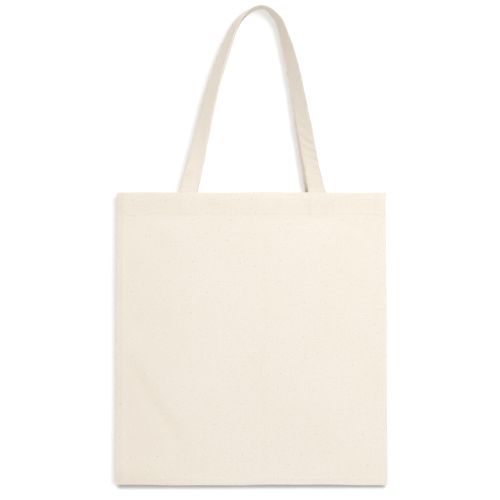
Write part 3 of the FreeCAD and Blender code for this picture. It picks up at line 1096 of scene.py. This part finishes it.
def row_of_stitches(name, runs, width, height, seed):
    """One mesh of many copies of the stitch, each a little different; a run holds centres, alongs, lengths and ups."""
    centres, alongs, lengths, ups = (np.concatenate(part) for part in zip(*runs))
    shape, faces = one_stitch(Measures())
    rng = random.Random(seed)
    verts, polys, uvs = [], [], []
    for k in range(len(centres)):
        c, a, n = Vector(centres[k]), Vector(alongs[k]).normalized(), Vector(ups[k]).normalized()
        n = (n - a * n.dot(a)).normalized()
        b = n.cross(a)
        swing = rng.uniform(-0.05, 0.05)
        a, b = a * math.cos(swing) + b * math.sin(swing), b * math.cos(swing) - a * math.sin(swing)
        long = lengths[k] * rng.uniform(0.93, 1.04)
        fat = width * rng.uniform(0.92, 1.08)
        base = len(verts)
        for x, y, z in shape:
            verts.append(tuple(c + a * (x * long) + b * (y * fat) + n * (z * height)))
        polys += [tuple(base + i for i in f) for f in faces]
        for f in faces:
            uvs += [(shape[i][1], k * 0.01 + shape[i][0] * long) for i in f]
    mesh = bpy.data.meshes.new(name)
    mesh.from_pydata(verts, [], polys)
    layer = mesh.uv_layers.new(name="cloth")
    layer.data.foreach_set("uv", np.array(uvs, np.float32).ravel())
    obj = bpy.data.objects.new(name, mesh)
    bpy.context.scene.collection.objects.link(obj)
    outward(obj)
    shade(obj)
    dress(obj, sewing_thread())
    return obj


def along_line(point, start, end, pitch):
    """Centres, directions, lengths and t of the stitches on the line point(t), t from start to end in metres."""
    count = max(1, int(round(abs(end - start) / pitch)))
    edges = np.linspace(start, end, count + 1)
    middle = (edges[:-1] + edges[1:]) / 2
    reach = 0.42 * (edges[1] - edges[0])
    a, b = point(middle - reach), point(middle + reach)
    return point(middle), b - a, np.linalg.norm(b - a, axis=1), middle


def on_panel(m, side, offset):
    """A function of x and z that gives the point at that offset from the panel's inner face."""
    def at(x, z):
        x, z = np.broadcast_arrays(np.asarray(x, float), np.asarray(z, float))
        y = side * (face_at(m, side, x, z) + offset)
        return settle(m, np.column_stack([x, y, z]))
    return at


class TOTE_OT_stitch_hems(bpy.types.Operator):
    """Sew the hems: one row round the mouth, and two short rows that hold each end of each handle"""

    bl_idname = "tote.stitch_hems"
    bl_label = "Hem and handle-end stitching"

    def execute(self, context):
        m = Measures()
        s = m.s
        sunk = 0.12 * MM
        for side, name in SIDE_NAMES.items():
            outer = on_panel(m, side, s.cloth + sunk)
            inner_hem = on_panel(m, side, m.hem_layer - sunk)
            inner_strap = on_panel(m, side, m.strap_layer - sunk + 0.1 * MM)
            end = m.half_width - 1 * MM
            inner_end = m.half_width - 9.9 * MM
            runs = [(outer, -end, end, 1)]
            start = -inner_end
            for root in m.roots[side]:
                low, high = root - m.strap_width / 2, root + m.strap_width / 2
                runs += [(inner_hem, start, low - 0.6 * MM, -1), (inner_strap, low + 0.5 * MM, high - 0.5 * MM, -1)]
                start = high + 0.6 * MM
            runs.append((inner_hem, start, inner_end, -1))
            hem = self.sew(m, side, f"{name}_hem_stitches", [
                (lambda t, at=at: at(t, m.hem_row_z(t)), low, high, way) for at, low, high, way in runs])
            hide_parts(f"{name}_hem_stitching")
            for root, end_name in zip(m.roots[side], ("left", "right")):
                low = float(m.hem_row_z(root)) + 1.6 * MM
                high = m.mouth_z - 1.2 * MM
                tacks = self.sew(m, side, f"{name}_{end_name}_handle_tacks", [
                    (lambda t, x=x, at=at: at(np.full_like(t, x), t), low, high, way)
                    for x in (root - m.row_offset, root + m.row_offset)
                    for at, way in ((outer, 1), (inner_strap, -1))])
                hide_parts(f"{name}_{end_name}_handle_tack_stitching")
        return {"FINISHED"}

    def sew(self, m, side, name, rows):
        runs = []
        for point, low, high, way in rows:
            *run, t = along_line(point, low, high, m.s.stitch_pitch)
            runs.append((*run, np.tile([0, way * side, 0], (len(t), 1))))
        obj = row_of_stitches(name, runs, m.s.stitch_width, 0.55 * MM, seed=len(name) * 7 + side)
        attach(obj, "bag")
        return obj


class TOTE_OT_stitch_handles(bpy.types.Operator):
    """Sew along both edges of each handle, on both of its faces"""

    bl_idname = "tote.stitch_handles"
    bl_label = "Handle edge stitching"

    def execute(self, context):
        m = Measures()
        s = m.s
        for side, name in SIDE_NAMES.items():
            strap = Strap(m, side)
            runs = []
            for across in (-m.row_offset, m.row_offset):
                for way in (1, -1):
                    def point(t, deep=0.0):
                        lift, widen = strap.rolled(t, np.full_like(t, across))
                        deep = deep + s.strap_thickness / 2 - 0.19 * MM
                        return strap.place(t, across + widen, lift + way * deep)
                    ends = strap.tail + 1.5 * MM
                    *run, t = along_line(point, ends, strap.length - ends, s.stitch_pitch)
                    runs.append((*run, point(t, 1 * MM) - run[0]))
            obj = row_of_stitches(f"{name}_handle_stitches", runs, s.stitch_width * 1.3, 0.6 * MM, seed=50 + side)
            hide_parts(f"{name}_handle_stitching")
            blend_over_mouth(obj, side, name)
        return {"FINISHED"}


class TOTE_OT_sew_seams(bpy.types.Operator):
    """Sew the side and bottom seams and bind their raw edges with overlock loops"""

    bl_idname = "tote.sew_seams"
    bl_label = "Seams and overlock"

    def execute(self, context):
        m = Measures()
        s = m.s
        inner = m.half_width - 10 * MM
        seam_in, edge_in = 0.55 * MM, s.allowance + 0.6 * MM

        def upright(x):
            return lambda t: np.column_stack([np.full_like(t, x), np.zeros_like(t), t])

        def level(z):
            return lambda t: np.column_stack([t, np.zeros_like(t), np.full_like(t, z)])

        for name, sign in (("left", -1), ("right", 1)):
            self.bind(m, name, upright(sign * (m.half_width - seam_in)), upright(sign * (m.half_width - edge_in)),
                      m.base_z + 1.5 * MM, m.mouth_z - 1.5 * MM, Vector((sign, 0, 0)))
        self.bind(m, "bottom", level(m.base_z + seam_in), level(m.base_z + edge_in), -inner, inner, Vector((0, 0, -1)))
        return {"FINISHED"}

    def bind(self, m, name, seam, edge, low, high, outwards):
        *run, t = along_line(lambda t: settle(m, seam(t)), low, high, m.s.stitch_pitch)
        run.append(np.tile(list(outwards), (len(t), 1)))
        obj = row_of_stitches(f"{name}_seam_stitches", [run], 0.42 * MM, 0.5 * MM, seed=90 + len(name))
        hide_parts(f"{name}_seam_thread")
        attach(obj, "bag")

        # one thread loops round the raw edges of both allowances, over and over
        turns = int((high - low) / (2.6 * MM))
        points_a_turn = 8
        t = np.linspace(0, turns, turns * points_a_turn + 1)
        middle = settle(m, edge(low + (high - low) * t / turns))
        inwards = -np.array(outwards)
        swing = 2 * math.pi * t
        reach = (0.9 * (1 - np.cos(swing)) + 0.1 * np.sin(3 * swing)) * MM
        points = middle + inwards[None, :] * (-reach[:, None] + 0.25 * MM)
        points[:, 1] += 0.72 * MM * np.sin(swing)
        curve = bpy.data.curves.new(f"{name}_overlock_loops", "CURVE")
        curve.dimensions = "3D"
        curve.bevel_depth = 0.16 * MM
        curve.bevel_resolution = 0
        curve.resolution_u = 1
        line = curve.splines.new("POLY")
        line.points.add(len(points) - 1)
        for p, co in zip(line.points, points):
            p.co = (*co, 1)
        loops = bpy.data.objects.new(f"{name}_overlock_loops", curve)
        bpy.context.scene.collection.objects.link(loops)
        only(loops)
        bpy.ops.object.convert(target="MESH")
        loops = bpy.context.object
        maps = loops.data.uv_layers
        (maps[0] if maps else maps.new()).name = "cloth"
        close_ends(loops)
        shade(loops)
        dress(loops, overlock_thread())
        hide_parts(f"{name}_overlock")
        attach(loops, "bag")


# ---------------------------------------------------------------- stage


class TOTE_OT_set_stage(bpy.types.Operator):
    """Pale floor, a white wall behind that only the camera sees from the front, soft lights and the camera"""

    bl_idname = "tote.set_stage"
    bl_label = "Stage, lights and camera"

    def execute(self, context):
        m = Measures()
        stage = context.scene.tote_stage
        scene = context.scene
        scene.view_settings.view_transform = "Standard"

        nothing_selected()
        floor_z = m.base_z - stage.floor_drop
        bpy.ops.mesh.primitive_circle_add(vertices=96, radius=1.5, fill_type="NGON", location=(0, 0, floor_z))
        floor = context.object
        floor.name = "floor"
        bpy.ops.object.transform_apply(location=True, rotation=True, scale=True)
        material, w, shader = new_material("Pale floor")
        grain = w.noise(w.node("ShaderNodeTexCoord").outputs["Object"], 5.0, 3.0)
        w.join(w.mix(grain, (0.88, 0.875, 0.865, 1), (0.91, 0.905, 0.90, 1)), shader.inputs["Base Color"])
        shader.inputs["Roughness"].default_value = 0.85
        floor.data.materials.append(material)

        # the wall is turned a little, so that it is not seen edge on from the side
        wall_top = 0.9
        wall = self.upright("wall", (0, stage.wall_gap, (floor_z + wall_top) / 2), 2.4, wall_top - floor_z, turn=-1)
        material = bpy.data.materials.new("White wall")
        material.use_nodes = True
        tree = material.node_tree
        tree.nodes.clear()
        w = Wires(tree)
        end = tree.nodes.new("ShaderNodeOutputMaterial")
        path = tree.nodes.new("ShaderNodeLightPath")
        geometry = tree.nodes.new("ShaderNodeNewGeometry")
        clear = tree.nodes.new("ShaderNodeBsdfTransparent")
        paint_coat = w.node("ShaderNodeBsdfDiffuse", Color=(0.30, 0.30, 0.30, 1))
        glow = w.node("ShaderNodeEmission", Color=(1, 1, 1, 1), Strength=stage.wall_glow)
        both = w.node("ShaderNodeAddShader", i0=paint_coat.outputs[0], i1=glow.outputs[0])
        seen = w.times(path.outputs["Is Camera Ray"], w.less(1.0, geometry.outputs["Backfacing"]))
        mixed = w.node("ShaderNodeMixShader", i0=seen, i1=clear.outputs[0], i2=both.outputs[0])
        tree.links.new(mixed.outputs[0], end.inputs["Surface"])
        wall.data.materials.append(material)

        # a card hidden inside the bag's foot casts the shadow below it
        card = self.upright("shadow_card", (0, 0, m.base_z + stage.card / 2), 2 * m.half_width - 1 * MM, stage.card)
        for ray in ("camera", "diffuse", "glossy", "transmission", "volume_scatter"):
            setattr(card, f"visible_{ray}", False)

        world = bpy.data.worlds.new("White studio")
        scene.world = world
        world.use_nodes = True
        tree = world.node_tree
        tree.nodes.clear()
        w = Wires(tree)
        path = tree.nodes.new("ShaderNodeLightPath")
        even = w.node("ShaderNodeBackground", Color=(1.0, 0.968, 0.925, 1), Strength=stage.sky)
        white = w.node("ShaderNodeBackground", Color=(1, 1, 1, 1), Strength=1.0)
        shown = w.node("ShaderNodeMixShader", i0=path.outputs["Is Camera Ray"], i1=even.outputs[0], i2=white.outputs[0])
        end = tree.nodes.new("ShaderNodeOutputWorld")
        tree.links.new(shown.outputs[0], end.inputs["Surface"])

        middle = Vector((0, 0, (m.base_z + m.mouth_z) / 2 + 0.1))
        # the wall has two lights of its own, and the bag's lights leave it out
        only_wall = self.receivers("Wall alone", [wall], "INCLUDE")
        not_wall = self.receivers("All but the wall", [wall], "EXCLUDE")
        self.lamp("key", (0.95, -1.55, 1.0), middle, 0.9, stage.key, not_wall)
        front = self.lamp("front", (0.6, -1.6, 0.75), middle, 0.85, stage.front, not_wall)
        self.lamp("left", (-1.9, -0.9, 0.0), middle, 1.2, stage.left, not_wall)
        self.lamp("back_left", (-1.2, 1.7, 0.7), middle, 1.2, stage.key * 1.2, not_wall)
        self.lamp("back_right", (1.3, 1.9, 0.2), middle, 1.2, stage.key * 0.8, not_wall)
        self.lamp("shadow_side", (2.5, -12, 1.1), middle, 3.6, stage.shadow_side, only_wall)
        foot = self.lamp("shadow_foot", (0, -12, 2.9), middle, 2.5, stage.shadow_foot, only_wall)
        foot.light_linking.blocker_collection = self.receivers("Card alone", [card], "INCLUDE")
        # the strap behind the front one is lit through it, or its edge would look black
        near_strap = [bpy.data.objects["front_handle_strap"]]
        front.light_linking.blocker_collection = self.receivers("All but the front strap", near_strap, "EXCLUDE")

        camera_data = bpy.data.cameras.new("camera")
        camera = bpy.data.objects.new("camera", camera_data)
        scene.collection.objects.link(camera)
        camera.location = (stage.aim_x, -stage.camera_distance, stage.aim_z)
        camera.rotation_euler = (math.pi / 2, 0, 0)
        camera_data.sensor_width = 36
        camera_data.lens = 36 * stage.camera_distance / stage.view_width
        scene.camera = camera
        return {"FINISHED"}

    def upright(self, name, place, width, height, turn=0):
        """An upright sheet that faces the front, turned so many degrees."""
        nothing_selected()
        bpy.ops.mesh.primitive_plane_add(size=1, location=place, rotation=(math.pi / 2, 0, math.radians(turn)))
        sheet = bpy.context.object
        sheet.name = name
        sheet.scale = (width, height, 1)
        bpy.ops.object.transform_apply(location=True, rotation=True, scale=True)
        return sheet

    def receivers(self, name, objects, state):
        """A group for a lamp's linking: these objects alone, or everything but them."""
        group = bpy.data.collections.new(name)
        for obj in objects:
            group.objects.link(obj)
        for member in group.collection_objects:
            member.light_linking.link_state = state
        return group

    def lamp(self, name, place, target, size, power, receivers):
        light = bpy.data.lights.new(name, "AREA")
        light.shape = "DISK"
        light.size = size
        light.energy = power
        obj = bpy.data.objects.new(name, light)
        bpy.context.scene.collection.objects.link(obj)
        obj.location = place
        obj.rotation_euler = (target - Vector(place)).to_track_quat("-Z", "Y").to_euler()
        obj.light_linking.receiver_collection = receivers
        return obj


# ---------------------------------------------------------------- sidebar and registration


class TOTE_PT_sidebar(bpy.types.Panel):
    """The tote bag's sizes, finishes and pieces"""

    bl_idname = "TOTE_PT_sidebar"
    bl_label = "Tote bag"
    bl_space_type = "VIEW_3D"
    bl_region_type = "UI"
    bl_category = "Tote bag"

    def draw(self, context):
        layout = self.layout
        for title in ("Sizes", "Finish", "Stage"):
            settings = getattr(context.scene, f"tote_{title.lower()}")
            box = layout.box()
            box.label(text=title)
            for name in settings.bl_rna.properties.keys():
                if name not in ("rna_type", "name"):
                    box.prop(settings, name)
        for step in STEPS:
            layout.operator(step.bl_idname)


STEPS = (
    TOTE_OT_hang_panels,
    TOTE_OT_sew_panels,
    TOTE_OT_sew_handles,
    TOTE_OT_sew_seams,
    TOTE_OT_stitch_hems,
    TOTE_OT_stitch_handles,
    TOTE_OT_set_stage,
)
SETTINGS = {"tote_sizes": ToteBagSizes, "tote_finish": ToteBagFinish, "tote_stage": ToteBagStage}
CLASSES = (*SETTINGS.values(), *STEPS, TOTE_PT_sidebar)


def register():
    for cls in CLASSES:
        bpy.utils.register_class(cls)
    for name, kind in SETTINGS.items():
        setattr(bpy.types.Scene, name, bpy.props.PointerProperty(type=kind))


def unregister():
    for name in SETTINGS:
        delattr(bpy.types.Scene, name)
    for cls in reversed(CLASSES):
        bpy.utils.unregister_class(cls)


def main():
    register()
    for step in STEPS:
        group, name = step.bl_idname.split(".")
        getattr(getattr(bpy.ops, group), name)()


if __name__ == "__main__":
    main()
